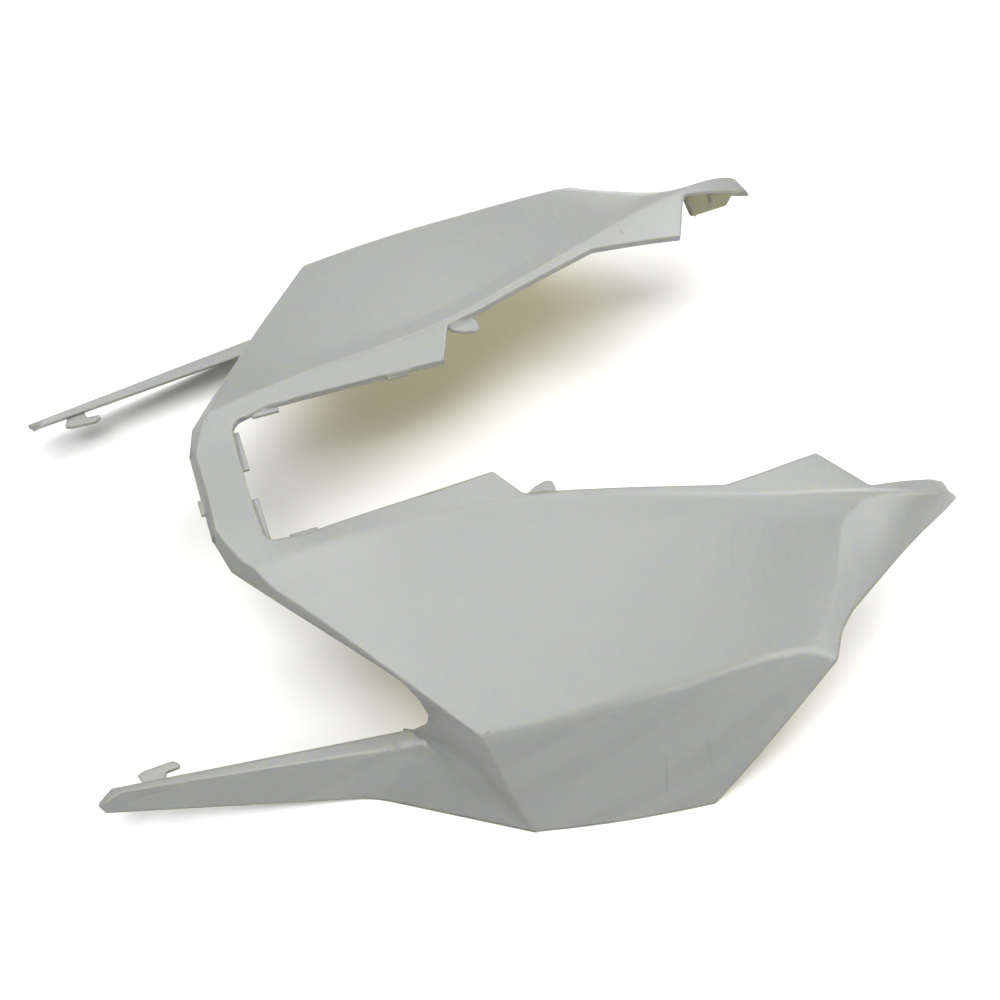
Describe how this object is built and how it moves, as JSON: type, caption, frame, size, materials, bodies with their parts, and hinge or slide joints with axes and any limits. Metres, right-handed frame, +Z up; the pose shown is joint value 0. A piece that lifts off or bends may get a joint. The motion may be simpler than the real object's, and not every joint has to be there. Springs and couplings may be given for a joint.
{
  "type": "motorcycle tail fairing",
  "caption": "One-piece moulded motorcycle tail fairing: U-shaped seat cowl with creased side panels, rear bridge, side outlets for silencers, rear spikes and front arms.",
  "frame": {"origin": "centre of the bounding box in plan, at floor level under the lower edges of the side facets", "axes": "+X towards the front arms, +Y to the left of the motorcycle, +Z up"},
  "size_m": [0.6017, 0.5668, 0.1113],
  "materials": {
    "shell": "unpainted pale grey moulded plastic, satin gloss"
  },
  "bodies": {
    "root": {"tail_fairing": "shell"}
  },
  "joints": []
}
